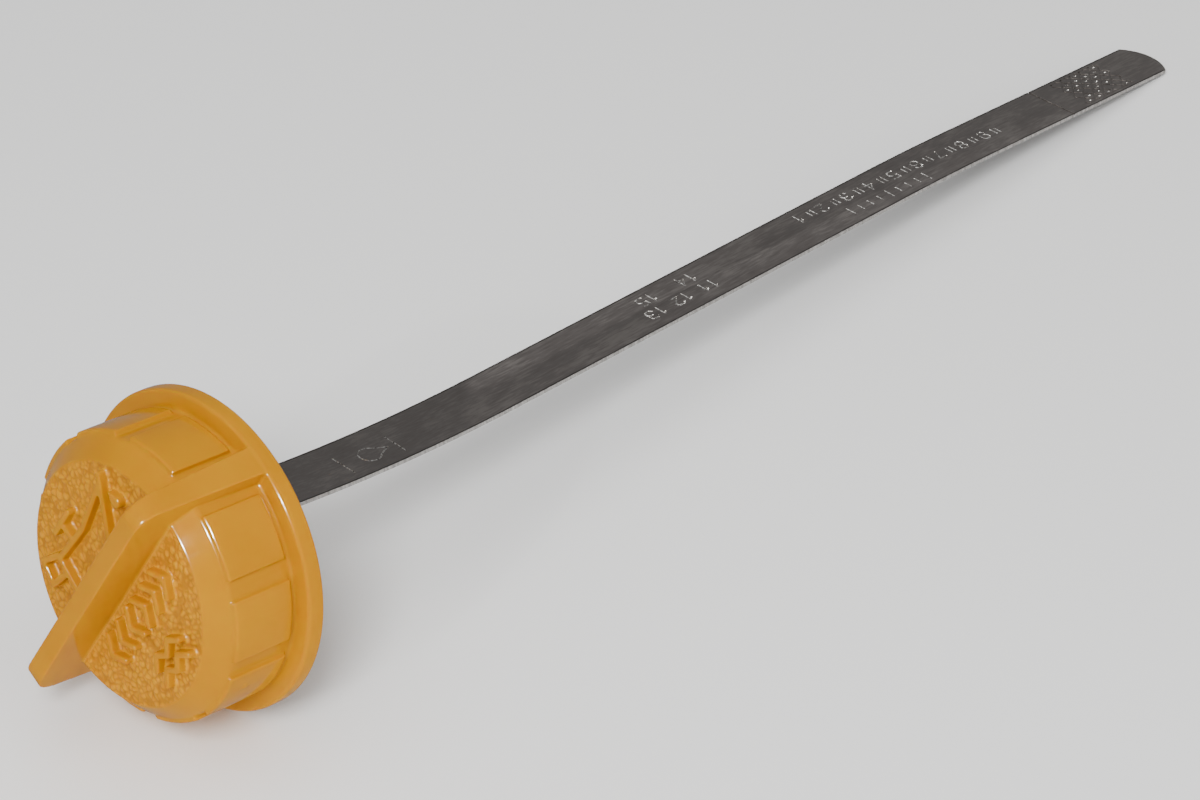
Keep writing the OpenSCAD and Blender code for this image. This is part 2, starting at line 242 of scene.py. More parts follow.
capDesign = {  # mm and degrees; heights run from the flange's back face forwards
    # turned shell
    "flangeR": 23.5, "flangeT": 2.8, "flangeRound": 0.5, "flangeFillet": 0.6,
    "skirtR": 20.5, "skirtH": 13.5, "shoulderRound": 1.2,
    "faceR": 17.9, "faceH": 16.5, "faceRound": 0.3, "wall": 2.0,
    "sink": 0.5,  # how deep a form reaches into the one that carries it
    # grip pads, and the torn stub of the gate on one of them
    "padsPerSide": 5, "padAngle": 25.6, "padPitch": 33.6, "padProud": 0.7, "padBevel": 0.25,
    "padGap": 0.8, "padOver": 0.45,
    "gateTurn": 244.5, "gateH": 9.9, "crumbSink": 0.1, "crumbSteps": 9,
    "crumbs": [(0.0, 0.0, 0.42), (0.55, 0.2, 0.3), (-0.4, 0.45, 0.26), (-0.15, -0.5, 0.28)],  # aside, up, r
    "crumbProfile": [(0, -1), (0.8, -0.6), (1, 0.1), (0.5, 0.9), (0, 1)],  # in radii of the crumb
    # bar handle and raised signs
    "handleH": 6.6, "handleTopL": 45.0, "handleFootL": 46.6, "handleTopT": 3.0, "handleFootT": 4.4,
    "handleCorner": 3.6, "handleTurn": -29.6,
    "signH": 1.4, "stroke": 0.95, "dropAt": (12.1, 6.4), "dropR": 0.95,
    "chevrons": {"perSide": 3, "middle": 1.1, "first": 1.9, "pitch": 3.6, "half": 0.9,
                 "top": -3.6, "tip": -5.8, "bottom": -8.0},
    "waves": {"levels": (-12.1, -14.6), "points": 5, "from": -2.2, "pitch": 2.0, "half": 0.7},
    # underside
    "ribs": 8, "ribT": 1.3, "ribBack": 3.0, "ribSink": 1.2,
    "plugR": 13.0, "plugReach": 6.5, "plugWall": 3.4, "plugBevel": 0.3, "hubStep": 0.4, "hubReach": 0.5,
    "lugs": 2, "lugAngle": 40.0, "lugTurn": 30.0, "lugProud": 1.6, "lugT": 1.8,
    "lugBevel": 0.3, "lugRamp": 0.5,
    "grooveBack": 0.7, "grooveL": 3.0, "ringSeatR": 11.1,
    "webT": 4.4, "webSink": 1.6, "webShort": 0.02, "bladeOffset": 5.4, "rootLean": 4.1,
    "slotHalfW": 5.08, "slotHalfT": 0.38, "slotDepth": 10.1,
    "pinZ": -5.2, "pinR": 1.0, "pinFit": 0.02, "pinFrom": 3.027, "pinTo": 12.7, "boreOver": 1.0,
    # fineness of the mesh
    "turnSteps": 512, "sectorSteps": 40, "voxel": 0.18, "softening": 2,
    "share": 0.18,  # how much of the faces stays
    "grainWeight": 8.0,  # how much more the grain is spared
    # grained front face
    "grain": {"pitch": 0.95, "seed": 0.37, "sway": 0.35, "swayScale": 0.8, "steepness": 2.2,
              "swell": 0.35, "swellScale": 0.6},
    "grainDepth": 0.15,
    "grainShadeTone": 0.7,  # how strongly the painted shade and light follow the grain's height
    "grainedField": {"level": 0.12, "rim": 0.35, "handle": 2.1},  # how near the face, how far from the rest
    "satinField": {"level": 0.25, "rim": 0.3, "handle": 1.9},
    # plastic
    "plastic": {"IOR": 1.49, "Subsurface_Scale": 1.0 * mm, "Subsurface_Radius": (1.0, 0.35, 0.02)},
    "gloss": {"tones": [(0.3, "#B87A00"), (0.7, "#C08200")], "roughness": (0.11, 0.15),
              "specular": 0.25, "glow": 0.3, "cloud": 11.11,
              "ripple": 1.429, "rippleDepth": 0.1, "rippleStrength": 0.1},
    "satin": {"tones": [(0.1, "#A96B00"), (0.45, "#BF7E00"), (0.9, "#D09000")], "roughness": 0.35,
              "specular": 0.12, "glow": 0.15,
              "pebble": 0.6667, "pebbleDepth": 0.1, "pebbleStrength": 0.35},
}


def shellProfile(c):
    # half outline of the turned shell: face, shoulder, skirt and flange, then hollow, hub, plug and bore
    lean = math.degrees(math.atan2(c["skirtR"] - c["faceR"], c["faceH"] - c["skirtH"]))
    cut = c["shoulderRound"] * math.tan(math.radians(lean / 2))  # how far the rounding runs down the skirt
    edge, corner, fillet = c["faceRound"], c["flangeRound"], c["flangeFillet"]
    outer = [(0, c["faceH"])]
    outer += arc(c["faceR"] - edge, c["faceH"] - edge, edge, 90, lean, steps=4)
    outer += arc(c["skirtR"] - c["shoulderRound"], c["skirtH"] - cut, c["shoulderRound"], lean, 0)
    outer += arc(c["skirtR"] + fillet, c["flangeT"] + fillet, fillet, 180, 270)
    outer += arc(c["flangeR"] - corner, c["flangeT"] - corner, corner, 90, 0)
    outer += arc(c["flangeR"] - corner, corner, corner, 0, -90)
    hollowR, hubR, boreR = c["skirtR"] - c["wall"], c["plugR"] - c["hubStep"], c["plugR"] - c["plugWall"]
    roof, end, bevel = c["faceH"] - c["wall"], -c["plugReach"], c["plugBevel"]
    grooveEnd = -c["grooveBack"] - c["grooveL"]
    inner = [(hollowR, 0), (hollowR, c["skirtH"] - cut - c["wall"] / 2), (c["faceR"] - c["wall"] / 2, roof)]
    inner += [(hubR, roof), (hubR, -c["hubReach"]), (c["plugR"], -c["hubReach"])]
    inner += [(c["plugR"], -c["grooveBack"]), (c["ringSeatR"], -c["grooveBack"])]
    inner += [(c["ringSeatR"], grooveEnd), (c["plugR"], grooveEnd)]
    inner += [(c["plugR"], end + bevel), (c["plugR"] - bevel, end)]
    inner += [(boreR + bevel, end), (boreR, end + bevel), (boreR, roof), (0, roof)]
    return outer + inner, cut


def addPads(solids, c, cut):
    low, high = c["flangeT"] + c["padGap"], c["skirtH"] - cut + c["padOver"]
    padR, root, bevel = c["skirtR"] + c["padProud"], c["skirtR"] - c["wall"] / 2, c["padBevel"]
    profile = [(root, low), (padR - bevel, low), (padR, low + bevel)]
    profile += [(padR, high - bevel), (padR - bevel, high), (root, high)]
    first = 90 - (c["padsPerSide"] - 1) * c["padPitch"] / 2 - c["padAngle"] / 2
    for side in (0, 180):
        for i in range(c["padsPerSide"]):
            turn = c["handleTurn"] + side + first + i * c["padPitch"]
            solids.add(*revolve(profile, c["sectorSteps"], c["padAngle"]), turned(turn))


def addGateStub(solids, c):
    # the torn stub of the gate on one pad: crumbs that stand up to 0.3 mm proud
    padR = c["skirtR"] + c["padProud"]
    for aside, up, r in c["crumbs"]:
        crumb = [(x * r, z * r) for x, z in c["crumbProfile"]]
        turn = Matrix.Rotation(math.radians(c["gateTurn"]) + aside / padR, 4, "Z")
        place = Matrix.Translation((padR - c["crumbSink"], 0, c["gateH"] + up))
        solids.add(*revolve(crumb, c["crumbSteps"]), turn @ place)


def addHandle(solids, c):
    # a bar over the whole cap, down to the flange, which gets longer and thicker towards its foot
    top, foot = c["faceH"] + c["handleH"], c["flangeT"] - c["sink"]
    rise = top - c["flangeT"]
    halfTop, corner = c["handleTopL"] / 2, c["handleCorner"]
    halfFoot = c["handleFootL"] / 2 + c["sink"] * (c["handleFootL"] - c["handleTopL"]) / 2 / rise
    outline = [(-halfFoot, foot), (halfFoot, foot)]
    outline += arc(halfTop - corner, top - corner, corner, 0, 90, steps=12)
    outline += arc(corner - halfTop, top - corner, corner, 90, 180, steps=12)
    taper = (c["handleFootT"] - c["handleTopT"]) / 2 / rise
    near = [(u, -c["handleTopT"] / 2 - taper * (top - z), z) for u, z in outline]
    far = [(u, -v, z) for u, v, z in near]
    solids.add(*loft(near, far), turned(c["handleTurn"]))


canStrokes = [  # oil can with its spout to the right, in mm on the face, the handle along the first axis
    [(-6.3, 9.2), (2.1, 8.6), (11.1, 10)],
    [(-6.3, 9.2), (-7.2, 3.7), (5.4, 3.7), (11.2, 9.8)],
    [(-6.1, 9.6), (-9.9, 11.2), (-11.1, 7.9), (-6.8, 7)],
    [(10.9, 9.4), (12.3, 10.9)],
    [(-1.2, 9), (-1.2, 11.9)],
    [(-3.6, 11.9), (1.5, 11.9)],
]


def turnStrokes(c):
    # chevrons that point both ways round the cap, over two waves
    strokes, row, wave = [], c["chevrons"], c["waves"]
    for side in (-1, 1):
        for i in range(row["perSide"]):
            x = row["middle"] + side * (row["first"] + row["pitch"] * i)
            back, front = x - row["half"] * side, x + row["half"] * side
            strokes.append([(back, row["top"]), (front, row["tip"]), (back, row["bottom"])])
    for y in wave["levels"]:
        strokes.append([(wave["from"] + wave["pitch"] * i, y + (wave["half"] if i % 2 else -wave["half"]))
                        for i in range(wave["points"])])
    return strokes


def addSigns(solids, c):
    turn = turned(c["handleTurn"])
    low, high = c["faceH"] - c["sink"], c["faceH"] + c["signH"]
    for chain in canStrokes + turnStrokes(c):
        for start, end in zip(chain, chain[1:]):
            solids.add(*prism(strokeOutline(start, end, c["stroke"]), low, high), turn)
    x, y = c["dropAt"]
    drop = arc(x, y, c["dropR"], 150, 390, steps=24) + [(x, y + 2 * c["dropR"])]  # round below, a tip above
    solids.add(*prism(drop, low, high), turn)


def addRibs(solids, c, cut):
    # the ribs reach up into the roof, which slopes down at its rim
    roof, half = c["faceH"] - c["wall"], c["ribT"] / 2
    inner, outer = c["plugR"] - c["ribSink"], c["skirtR"] - c["wall"] / 2
    side = [(inner, c["ribBack"]), (outer, c["ribBack"]), (outer, c["skirtH"] - cut - c["wall"] / 2)]
    side += [(c["faceR"] - c["wall"] / 2, roof + c["sink"]), (inner, roof + c["sink"])]
    for i in range(c["ribs"]):
        solids.add(*prism(side, -half, half), turned((i + 0.5) * 360 / c["ribs"]) @ turned(90, "X"))


def addWeb(solids, c):
    # the web across the plug's bore leans as the blade does, and leaves a slot for the blade's root
    lean = Matrix.Translation((c["bladeOffset"], 0, 0)) @ turned(c["rootLean"], "Y")
    low, high, half = c["webShort"] - c["plugReach"], c["faceH"] - c["wall"] / 2, c["webT"] / 2
    boreR = c["plugR"] - c["plugWall"]
    reach = math.sqrt((boreR + c["webSink"]) ** 2 - (c["bladeOffset"] + half) ** 2)
    slotT, slotW = c["slotHalfT"], c["slotHalfW"]
    blocks = [(-half, -slotT, -reach, reach, low), (slotT, half, -reach, reach, low)]  # over its faces
    blocks += [(-half, half, -reach, -slotW, low), (-half, half, slotW, reach, low)]  # beside its edges
    blocks += [(-half, half, -reach, reach, c["slotDepth"])]  # in front of its end
    for x0, x1, y0, y1, back in blocks:
        solids.add(*prism([(x0, y0), (x1, y0), (x1, y1), (x0, y1)], back, high), lean)


def addLugs(solids, c):
    # locking lugs, bevelled behind and with a ramp on the side of the flange
    back, front = -c["plugReach"], c["lugT"] - c["plugReach"]
    root, out = c["plugR"] - c["sink"], c["plugR"] + c["lugProud"]
    profile = [(root, back), (out - c["lugBevel"], back), (out, back + c["lugBevel"])]
    profile += [(out, front - c["lugRamp"]), (c["plugR"], front), (root, front)]
    for i in range(c["lugs"]):
        turn = c["lugTurn"] + i * 360 / c["lugs"] - c["lugAngle"] / 2
        solids.add(*revolve(profile, c["sectorSteps"], c["lugAngle"]), turned(turn))


def soften(mesh, rounds):
    # moves each point halfway to the middle of its neighbours, which rounds the edges as a mould does
    edges = np.empty(len(mesh.edges) * 2, np.int64)
    mesh.edges.foreach_get("vertices", edges)
    edges = edges.reshape(-1, 2)
    points = coordinates(mesh)
    count = np.bincount(edges.ravel(), minlength=len(points))[:, None]
    for _ in range(rounds):
        total = np.zeros_like(points)
        for column in range(3):
            total[:, column] += np.bincount(edges[:, 0], points[edges[:, 1], column], len(points))
            total[:, column] += np.bincount(edges[:, 1], points[edges[:, 0], column], len(points))
        points += 0.5 * (total / np.maximum(count, 1) - points)
    setCoordinates(mesh, points)


def onFrontFace(points, c, field):
    # tells which points lie on the front face, clear of its rim and of the handle
    radius = np.hypot(points[:, 0], points[:, 1])
    turn = math.radians(c["handleTurn"])
    across = -points[:, 0] * math.sin(turn) + points[:, 1] * math.cos(turn)
    level = np.abs(points[:, 2] - c["faceH"]) < field["level"]
    return level & (radius < c["faceR"] - field["rim"]) & (np.abs(across) > field["handle"])


def grainHeight(x, y, grain):
    # pebbled leather grain: rounded cells with creases between them, on a gentle swell
    spot = Vector((x / grain["pitch"], y / grain["pitch"], grain["seed"]))
    spot += grain["sway"] * noise.noise_vector(spot * grain["swayScale"])
    near, far = noise.voronoi(spot)[0][:2]
    crease = min(1.0, (far - near) * grain["steepness"])
    pebble = crease * crease * (3 - 2 * crease)
    return pebble - 0.5 + grain["swell"] * noise.noise(spot * grain["swellScale"])


def grainFace(obj, c):
    points = coordinates(obj.data)
    chosen = np.nonzero(onFrontFace(points, c, c["grainedField"]))[0]
    for i in chosen:
        points[i, 2] += c["grainDepth"] * grainHeight(points[i, 0], points[i, 1], c["grain"])
    setCoordinates(obj.data, points)
    group = obj.vertex_groups.new(name="grained")
    group.add([int(i) for i in chosen], 1.0, "REPLACE")
    print("grained points", len(chosen))


def pinPlace(c):
    # turns the upright axis into the pin's line
    return Matrix.Translation((0, 0, c["pinZ"])) @ turned(90, "Y")


def boreForPin(obj, c):
    # the hole runs in from the plug's side, square to the cap's axis
    circle = arc(0, 0, c["pinR"] + c["pinFit"], 0, 360, steps=48)[:-1]
    hole = SolidList()
    hole.add(*prism(circle, c["pinFrom"], c["plugR"] + c["boreOver"]), pinPlace(c))
    mesh = hole.asMesh("pin_bore")
    cleanMesh(mesh)
    bore = newObject("pin_bore", mesh)
    withModifiers(obj, ("BOOLEAN", {"operation": "DIFFERENCE", "object": bore, "solver": "EXACT"}))
    bpy.data.objects.remove(bore)


def gradeFaces(mesh, c):
    # the grained front face takes the second material, and each point keeps its height in the grain as a
    # level of painted shade and light
    count = len(mesh.polygons)
    centres = np.empty(count * 3)
    mesh.polygons.foreach_get("center", centres)
    grained = onFrontFace(centres.reshape(-1, 3), c, c["satinField"])
    mesh.polygons.foreach_set("material_index", grained.astype(np.int32))
    mesh.polygons.foreach_set("use_smooth", np.ones(count, bool))
    mesh.update()
    height = (coordinates(mesh)[:, 2] - c["faceH"]) / c["grainDepth"]
    level = mesh.attributes.new("grainShadeLevel", "FLOAT", "POINT")
    level.data.foreach_set("value", np.clip(0.5 + c["grainShadeTone"] * height, 0, 1).astype(np.float32))


def glossyAmberPlastic(c):
    # moulded and polished polypropylene: deep even amber, sharp small glints, a faint ripple in the gloss
    look = c["gloss"]
    material, tree, shader = newMaterial(
        "glossyAmberPlastic", Specular_IOR_Level=look["specular"],
        Subsurface_Weight=look["glow"], **c["plastic"])
    place = addNode(tree, "ShaderNodeTexCoord").outputs["Object"]
    clouds = addNode(tree, "ShaderNodeTexNoise", {"Scale": 1 / (look["cloud"] * mm), "Detail": 3.0},
                     {"Vector": place}).outputs["Fac"]
    colour = addNode(tree, "ShaderNodeValToRGB", links={"Fac": clouds}, stops=look["tones"])
    rough = addNode(tree, "ShaderNodeMapRange", {
        "From Min": noiseLow, "From Max": noiseHigh,
        "To Min": look["roughness"][0], "To Max": look["roughness"][1]}, {"Value": clouds})
    ripple = addNode(tree, "ShaderNodeTexNoise", {"Scale": 1 / (look["ripple"] * mm), "Detail": 2.0},
                     {"Vector": place}).outputs["Fac"]
    bump = addNode(tree, "ShaderNodeBump", {
        "Strength": look["rippleStrength"], "Distance": look["rippleDepth"] * mm}, {"Height": ripple})
    tree.links.new(colour.outputs["Color"], shader.inputs["Base Color"])
    tree.links.new(rough.outputs["Result"], shader.inputs["Roughness"])
    tree.links.new(bump.outputs["Normal"], shader.inputs["Normal"])
    return material


def grainedAmberPlastic(c):
    # the same plastic moulded against an etched tool: satin gloss, with painted shade in the creases and
    # painted light on the pebbles
    look = c["satin"]
    material, tree, shader = newMaterial(
        "grainedAmberPlastic", Roughness=look["roughness"], Specular_IOR_Level=look["specular"],
        Subsurface_Weight=look["glow"], **c["plastic"])
    place = addNode(tree, "ShaderNodeTexCoord").outputs["Object"]
    # the painted shade level is 0 in a crease, which is darkest, and 1 on a pebble, which is lightest
    level = addNode(tree, "ShaderNodeAttribute", attribute_name="grainShadeLevel")
    colour = addNode(tree, "ShaderNodeValToRGB", links={"Fac": level.outputs["Fac"]}, stops=look["tones"])
    cells = addNode(tree, "ShaderNodeTexVoronoi", {"Scale": 1 / (look["pebble"] * mm)}, {"Vector": place})
    bump = addNode(tree, "ShaderNodeBump", {
        "Strength": look["pebbleStrength"], "Distance": look["pebbleDepth"] * mm},
        {"Height": cells.outputs["Distance"]}, invert=True)
    tree.links.new(colour.outputs["Color"], shader.inputs["Base Color"])
    tree.links.new(bump.outputs["Normal"], shader.inputs["Normal"])
    return material


def makeCap(c):
    profile, cut = shellProfile(c)
    solids = SolidList()
    solids.add(*revolve(profile, c["turnSteps"]))
    addPads(solids, c, cut)
    addGateStub(solids, c)
    addHandle(solids, c)
    addSigns(solids, c)
    addRibs(solids, c, cut)
    addWeb(solids, c)
    addLugs(solids, c)
    cap = newObject("moulded_cap", solids.asMesh("moulded_cap"))
    withModifiers(cap, ("REMESH", {"mode": "VOXEL", "voxel_size": c["voxel"], "adaptivity": 0.0}))
    print("fused cap", len(cap.data.vertices))
    soften(cap.data, c["softening"])
    grainFace(cap, c)
    withModifiers(cap, ("DECIMATE", {
        "ratio": c["share"], "vertex_group": "grained", "invert_vertex_group": True,
        "vertex_group_factor": c["grainWeight"]}))
    boreForPin(cap, c)
    print("lean cap", len(cap.data.polygons))
    gradeFaces(cap.data, c)
    cap.data.materials.append(glossyAmberPlastic(c))
    cap.data.materials.append(grainedAmberPlastic(c))
    cap.data.transform(capPlaceMm)
    return cap


cap = makeCap(capDesign)
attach(cap, "root")
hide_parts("cap")
print("cap done")

numeralStrokes = {  # plain numerals on a grid 4 wide and 6 high
    "0": [[(1, 0), (0, 1), (0, 5), (1, 6), (3, 6), (4, 5), (4, 1), (3, 0), (1, 0)]],
    "1": [[(1, 4.6), (2.4, 6), (2.4, 0)]],
    "2": [[(0, 5), (1, 6), (3, 6), (4, 5), (4, 4), (0, 0), (4, 0)]],
    "3": [[(0, 5), (1, 6), (3, 6), (4, 5), (4, 4), (3, 3.2), (1.6, 3.2)],
          [(3, 3.2), (4, 2.2), (4, 1), (3, 0), (1, 0), (0, 1)]],
    "4": [[(3, 0), (3, 6), (0, 2), (4, 2)]],
    "5": [[(4, 6), (0, 6), (0, 3.5), (3, 3.5), (4, 2.5), (4, 1), (3, 0), (0, 0)]],
    "6": [[(4, 5), (3, 6), (1, 6), (0, 5), (0, 1), (1, 0), (3, 0), (4, 1), (4, 2.4), (3, 3.4), (0, 3.4)]],
    "7": [[(0, 6), (4, 6), (1.4, 0)]],
    "8": [[(1, 3.2), (0, 2.2), (0, 1), (1, 0), (3, 0), (4, 1), (4, 2.2), (3, 3.2), (1, 3.2), (0, 4.2),
           (0, 5), (1, 6), (3, 6), (4, 5), (4, 4.2), (3, 3.2)]],
    "9": [[(0, 1), (1, 0), (3, 0), (4, 1), (4, 5), (3, 6), (1, 6), (0, 5), (0, 3.6), (1, 2.6), (4, 2.6)]],
}
numeralGridH = 6
numeralAdvance = 5.6  # grid units from one numeral of a number to the next

bladeDesign = {  # mm; places run from the flange's back face towards the tip, and across to the far edge
    "weld": 0.001,
    "flatAngle": 0.05,  # degrees
    "strokeTop": 0.34, "strokeFloor": 0.1, "strokeDepth": 0.1, "strokeLift": 0.05,
    "strokeOver": 0.8,  # how far a stroke's end is cut past its last point, in halves of its width
    "numeralH": 2.1,
    "longRow": {"from": 121.5, "across": 2.3, "slope": -0.055, "pitch": 5.2, "count": 9, "numeral": 1},
    "ticks": {"from": 1.6, "pitch": 0.9, "count": 2, "low": -0.9, "high": 0.5},
    "lowRow": {"from": 128.5, "across": -1.9, "slope": -0.05, "pitch": 2.1, "count": 9,
               "longEach": 4, "longHalf": 1.0, "shortHalf": 0.6},
    "upperPair": {"from": 88.6, "across": 2.0, "pitch": 8.4, "words": ["15", "14"]},
    "lowerPair": {"from": 87.1, "across": -1.5, "pitch": 5.6, "words": ["13", "12", "11"]},
    "dropAt": (28.2, -0.9), "dropR": 1.7, "barAt": (23.2, 33.0), "barHalf": 2.3,
    "hatchMiddle": 190.1, "hatchL": 12.0, "hatchW": 8.6, "hatchPitch": 1.7,
    "pitL": 0.3, "pitMargin": 0.3, "pitRange": 8,  # diamonds counted each way from the middle
    "pitChance": {"step": 0.9, "seed": 2.6, "level": -0.08},
    "grooves": (170.0, 198.0), "grooveReach": 4.85,  # where the level line and the hatch lie
    "grooveSlope": (-0.5, 0.9),  # upward part of the normal of a groove's side
    "smallFace": 0.2, "largeFace": 4.0,  # square mm
    "edgeTurn": 0.5, "tipTurn": 0.7,  # sideways and forward part of the normal of the sheared edge
    "rolled": {"tones": [(0.55, "#7F7976"), (0.85, "#8B8582"), (1.0, "#9B9591")], "roughness": (0.28, 0.42),
               "line": (16.67, 0.3333, 0.3333), "lineDepth": 0.03, "lineStrength": 0.12,
               "stain": (9.091, 5.263, 5.263), "stainShare": 0.7, "arris": (4.6, 4.8), "arrisShade": 0.45},
    "sheared": {"tones": [(0.3, "#8C8884"), (0.7, "#C9C6C2")], "line": (0.4, 2.5, 2.5)},
    "stamped": {"tones": [(0.35, "#6F6B68"), (0.5, "#C4C1BD"), (0.62, "#F2F1EE")], "oilAndGlintSpeckle": 0.3846},
    # painted shade in the level line and the hatch: dark tones in blotches
    "grooveShade": {"tones": [(0.35, "#3B3632"), (0.6, "#6C6662"), (0.75, "#A7A39E")], "grooveShadeBlotch": 0.7143},
}
faceFinish, edgeFinish, markFinish, grooveFinish = range(4)  # places in the blade's list of materials


def rolledBladeSteel(b):
    # cold-rolled spring strip: brownish grey, oil stains, dull gloss, and lines along its length, which are
    # drawn coarser than the real ones so that they show
    look = b["rolled"]
    material, tree, shader = newMaterial("rolledBladeSteel", Metallic=1.0, Anisotropic=0.4)
    place = addNode(tree, "ShaderNodeTexCoord").outputs["Object"]
    drawn = addNode(tree, "ShaderNodeMapping", {"Scale": [1 / (size * mm) for size in look["line"]]},
                    {"Vector": place})
    lines = addNode(tree, "ShaderNodeTexNoise", {"Scale": 1.0, "Detail": 6.0, "Roughness": 0.65},
                    {"Vector": drawn.outputs["Vector"]}).outputs["Fac"]
    spread = addNode(tree, "ShaderNodeMapping", {"Scale": [1 / (size * mm) for size in look["stain"]]},
                     {"Vector": place})
    stains = addNode(tree, "ShaderNodeTexNoise", {"Scale": 1.0, "Detail": 4.0},
                     {"Vector": spread.outputs["Vector"]}).outputs["Fac"]
    mixed = addNode(tree, "ShaderNodeMath", {1: look["stainShare"]}, {0: stains, 2: lines},
                    operation="MULTIPLY_ADD")
    colour = addNode(tree, "ShaderNodeValToRGB", links={"Fac": mixed.outputs["Value"]}, stops=look["tones"])
    # a narrow strip along each side of the 10 mm wide face is darker: painted shade where the face turns
    # over its edges
    parts = addNode(tree, "ShaderNodeSeparateXYZ", links={"Vector": place})
    aside = addNode(tree, "ShaderNodeMath", links={0: parts.outputs["Y"]}, operation="ABSOLUTE")
    arris = addNode(tree, "ShaderNodeMapRange", {
        "From Min": look["arris"][0] * mm, "From Max": look["arris"][1] * mm,
        "To Min": 1.0, "To Max": look["arrisShade"]}, {"Value": aside.outputs["Value"]})
    shade = addNode(tree, "ShaderNodeVectorMath", operation="MULTIPLY",
                    links={0: colour.outputs["Color"], 1: arris.outputs["Result"]})
    rough = addNode(tree, "ShaderNodeMapRange", {
        "From Min": noiseLow, "From Max": noiseHigh,
        "To Min": look["roughness"][0], "To Max": look["roughness"][1]}, {"Value": lines})
    bump = addNode(tree, "ShaderNodeBump", {
        "Strength": look["lineStrength"], "Distance": look["lineDepth"] * mm}, {"Height": lines})
    tree.links.new(shade.outputs["Vector"], shader.inputs["Base Color"])
    tree.links.new(rough.outputs["Result"], shader.inputs["Roughness"])
    tree.links.new(bump.outputs["Normal"], shader.inputs["Normal"])
    return material


def shearedEdgeSteel(b):
    # freshly sheared edge of the strip: bare and bright, with the shear's marks across it, drawn coarser
    look = b["sheared"]
    material, tree, shader = newMaterial("shearedEdgeSteel", Metallic=0.4, Roughness=0.4)
    place = addNode(tree, "ShaderNodeTexCoord").outputs["Object"]
    drawn = addNode(tree, "ShaderNodeMapping", {"Scale": [1 / (size * mm) for size in look["line"]]},
                    {"Vector": place})
    lines = addNode(tree, "ShaderNodeTexNoise", {"Scale": 1.0, "Detail": 4.0},
                    {"Vector": drawn.outputs["Vector"]})
    colour = addNode(tree, "ShaderNodeValToRGB", links={"Fac": lines.outputs["Fac"]}, stops=look["tones"])
    tree.links.new(colour.outputs["Color"], shader.inputs["Base Color"])
    return material


def stampedSteel(b):
    # metal laid bare where a stamp cut it: bright, speckled darker with what the oil left, with painted
    # glints in its near-white speckles
    look = b["stamped"]
    material, tree, shader = newMaterial("stampedSteel", Metallic=1.0, Roughness=0.36)
    place = addNode(tree, "ShaderNodeTexCoord").outputs["Object"]
    oilAndGlintSpeckle = addNode(tree, "ShaderNodeTexNoise", {"Scale": 1 / (look["oilAndGlintSpeckle"] * mm), "Detail": 2.0},
                      {"Vector": place})
    colour = addNode(tree, "ShaderNodeValToRGB", links={"Fac": oilAndGlintSpeckle.outputs["Fac"]}, stops=look["tones"])
    tree.links.new(colour.outputs["Color"], shader.inputs["Base Color"])
    return material


def paintedShadeGrooveSteel(b):
    # rolled and scribed grooves: painted shade, dark and dull, in blotches
    look = b["grooveShade"]
    material, tree, shader = newMaterial("paintedShadeGrooveSteel", Metallic=0.5, Roughness=0.55)
    place = addNode(tree, "ShaderNodeTexCoord").outputs["Object"]
    grooveShadeBlotch = addNode(tree, "ShaderNodeTexNoise", {"Scale": 1 / (look["grooveShadeBlotch"] * mm), "Detail": 3.0},
                   {"Vector": place})
    colour = addNode(tree, "ShaderNodeValToRGB", links={"Fac": grooveShadeBlotch.outputs["Fac"]}, stops=look["tones"])
    tree.links.new(colour.outputs["Color"], shader.inputs["Base Color"])
    return material


def numeralChains(word, s, v, height):
    # numbers are written towards the cap, with their feet on the side of the far edge
    unit, chains = height / numeralGridH, []
    for k, sign in enumerate(word):
        for chain in numeralStrokes[sign]:
            chains.append([(s - (x + numeralAdvance * k) * unit, v - (y - numeralGridH / 2) * unit)
                           for x, y in chain])
    return chains


def rowPlaces(row):
    # a stamped row drifts across the blade by its slope
    for i in range(row["count"]):
        s = row["from"] + row["pitch"] * i
        yield i, s, row["across"] + row["slope"] * (s - row["from"])


def hatchPits(b):
    # the stamp that rolled the hatch left a pit on most of the diamonds between its grooves, bright with
    # the stamped finish's painted glints
    pits, most, chance = [], b["pitRange"], b["pitChance"]
    for i in range(-most, most):
        for j in range(-most, most):
            along = b["hatchPitch"] * (i + j + 1) * math.sqrt(0.5)
            v = b["hatchPitch"] * (i - j) * math.sqrt(0.5)
            inside = abs(along) < b["hatchL"] / 2 and abs(v) < b["hatchW"] / 2 - b["pitMargin"]
            draw = noise.noise(Vector((i * chance["step"], j * chance["step"], chance["seed"])))
            if inside and draw > chance["level"]:
                s = b["hatchMiddle"] + along
                pits.append([(s - b["pitL"] / 2, v), (s + b["pitL"] / 2, v)])
    return pits


def markChains(b):
    chains, row, tick = [], b["longRow"], b["ticks"]
    for i, s, v in rowPlaces(row):
        chains += numeralChains(str(row["numeral"] + i), s, v, b["numeralH"])
        for k in range(tick["count"]):
            along = s + tick["from"] + tick["pitch"] * k
            chains.append([(along, v + tick["low"]), (along, v + tick["high"])])
    row = b["lowRow"]
    for i, s, v in rowPlaces(row):
        half = row["shortHalf"] if i % row["longEach"] else row["longHalf"]
        chains.append([(s, v - half), (s, v + half)])
    for row in (b["upperPair"], b["lowerPair"]):
        for i, word in enumerate(row["words"]):
            chains += numeralChains(word, row["from"] + row["pitch"] * i, row["across"], b["numeralH"])
    s, v = b["dropAt"]
    drop = [(s + y, v + x) for x, y in arc(0, 0, b["dropR"], 125, 415, steps=20)]
    drop += [(s + 2.0 * b["dropR"], v), drop[0]]  # its tip points to the blade's tip
    chains.append(drop)
    for s in b["barAt"]:
        chains.append([(s, v - b["barHalf"]), (s, v + b["barHalf"])])
    return chains + hatchPits(b)


